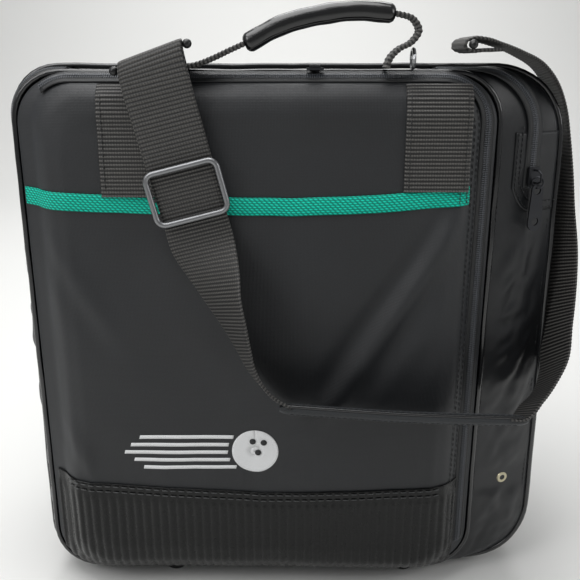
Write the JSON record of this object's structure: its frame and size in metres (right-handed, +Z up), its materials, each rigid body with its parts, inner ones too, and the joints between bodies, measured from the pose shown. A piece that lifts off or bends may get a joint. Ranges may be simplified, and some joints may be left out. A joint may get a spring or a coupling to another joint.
{
  "type": "rolling bowling bag",
  "caption": "Tall soft bowling bag with a padded pocketed front, zipped lid, folding carry handle, clip-on shoulder strap, front feet, rear wheels and a telescopic pull handle.",
  "frame": {"origin": "middle of the bounding box's footprint, on the floor the bag stands on", "axes": "+Z up, -Y towards the padded front with the pocket, +X to the right seen from the front"},
  "size_m": [0.4716, 0.3758, 0.509],
  "materials": {
    "nylon": "matt woven nylon",
    "satin_nylon": "satin woven nylon",
    "foam": "open-cell foam",
    "board": "stiffening board",
    "teal_tape": "woven tape",
    "ribbed_pvc": "glossy ribbed vinyl",
    "print": "screen print",
    "webbing": "ribbed webbing",
    "piping": "glossy moulded bead",
    "zip": "nylon coil and tape",
    "gunmetal": "dark plated die casting",
    "nickel": "nickel plated steel",
    "eyelet_brass": "pale brass",
    "rubber": "moulded rubber",
    "wheel_rubber": "moulded tread",
    "moulded": "moulded nylon",
    "tube_aluminium": "anodised",
    "gloss_pvc": "glossy rolled vinyl",
    "pad": "padded nylon"
  },
  "bodies": {
    "bag": {"front_panel": "nylon", "front_foam": "foam", "pocket_back": "board", "woven_tape": "teal_tape", "kick_panel": "ribbed_pvc", "printed_motif": "print", "handle_leg_left": "webbing", "handle_leg_right": "webbing", "front_piping": "piping", "middle_piping": "piping", "rear_piping": "piping", "side_right": "satin_nylon", "side_left": "satin_nylon", "base_panel": "nylon", "base_board": "board", "rear_panel": "nylon", "rear_board": "board", "mouth_hem_front": "nylon", "mouth_hem_rear": "nylon", "main_zip_right": "zip", "main_zip_left": "zip", "front_zip": "zip", "eyelet": "eyelet_brass", "foot_left": "rubber", "foot_right": "rubber", "foot_screw_left": "nickel", "foot_screw_right": "nickel", "wheel_housing_left": "moulded", "wheel_housing_right": "moulded", "axle_left": "nickel", "axle_right": "nickel", "tube_bracket_bottom": "moulded", "tube_bracket_top": "moulded", "pull_tube_left": "tube_aluminium", "pull_tube_right": "tube_aluminium", "d_ring_left": "nickel", "d_ring_right": "nickel", "strap_clip_left": "moulded", "strap_clip_right": "moulded", "strap_front": "webbing", "shoulder_pad": "pad", "strap_side": "webbing"},
    "lid": {"lid_panel": "nylon", "lid_zip_chain": "zip"},
    "main_slider": {"main_slider": "gunmetal"},
    "main_slider_ring": {"main_slider_ring": "nickel"},
    "main_pull_tab": {"main_pull_tab": "gunmetal"},
    "pocket_slider": {"pocket_slider": "gunmetal"},
    "pocket_pull_tab": {"pocket_pull_tab": "gunmetal"},
    "carry_handle": {"handle_grip": "gloss_pvc", "handle_web_left": "webbing", "handle_web_right": "webbing"},
    "wheel_left": {"wheel_left": "wheel_rubber"},
    "wheel_right": {"wheel_right": "wheel_rubber"},
    "pull_handle": {"pull_stem_left": "tube_aluminium", "pull_stem_right": "tube_aluminium", "pull_grip": "moulded"},
    "strap_slider": {"strap_slider": "nickel"}
  },
  "joints": [
    {"name": "lid_hinge", "type": "hinge", "parent": "bag", "child": "lid", "pos_m": [-0.03405, 0.12064, 0.4518], "axis": [-1, 0, 0], "range_deg": [0, 92]},
    {"name": "main_zip_slide", "type": "slide", "parent": "bag", "child": "main_slider", "axis": [0, 0, 1], "range_m": [0, 0.025]},
    {"name": "main_ring_swing", "type": "hinge", "parent": "main_slider", "child": "main_slider_ring", "pos_m": [0.19184, -0.1072, 0.3772], "axis": [-0.9145, -0.4045, 0], "range_deg": [0, 85]},
    {"name": "main_tab_swing", "type": "hinge", "parent": "main_slider_ring", "child": "main_pull_tab", "pos_m": [0.19184, -0.1072, 0.3682], "axis": [-0.9145, -0.4045, 0], "range_deg": [-10, 22]},
    {"name": "pocket_zip_slide", "type": "slide", "parent": "bag", "child": "pocket_slider", "axis": [1, 0, 0], "range_m": [-0.04, 0.04]},
    {"name": "pocket_tab_swing", "type": "hinge", "parent": "pocket_slider", "child": "pocket_pull_tab", "pos_m": [0.01095, -0.11896, 0.4629], "axis": [1, 0, 0], "range_deg": [0, 150]},
    {"name": "carry_handle_fold", "type": "hinge", "parent": "bag", "child": "carry_handle", "pos_m": [-0.00605, -0.13296, 0.464], "axis": [1, 0, 0], "range_deg": [0, 70]},
    {"name": "wheel_left_spin", "type": "hinge", "parent": "bag", "child": "wheel_left", "pos_m": [-0.18405, 0.16594, 0.022], "axis": [1, 0, 0], "continuous": true},
    {"name": "wheel_right_spin", "type": "hinge", "parent": "bag", "child": "wheel_right", "pos_m": [0.11595, 0.16594, 0.022], "axis": [1, 0, 0], "continuous": true},
    {"name": "pull_handle_slide", "type": "slide", "parent": "bag", "child": "pull_handle", "axis": [0, 0, 1], "range_m": [0, 0.33]},
    {"name": "strap_adjust", "type": "slide", "parent": "bag", "child": "strap_slider", "axis": [0.2464, 0, -0.9692], "range_m": [-0.04, 0.018]}
  ]
}
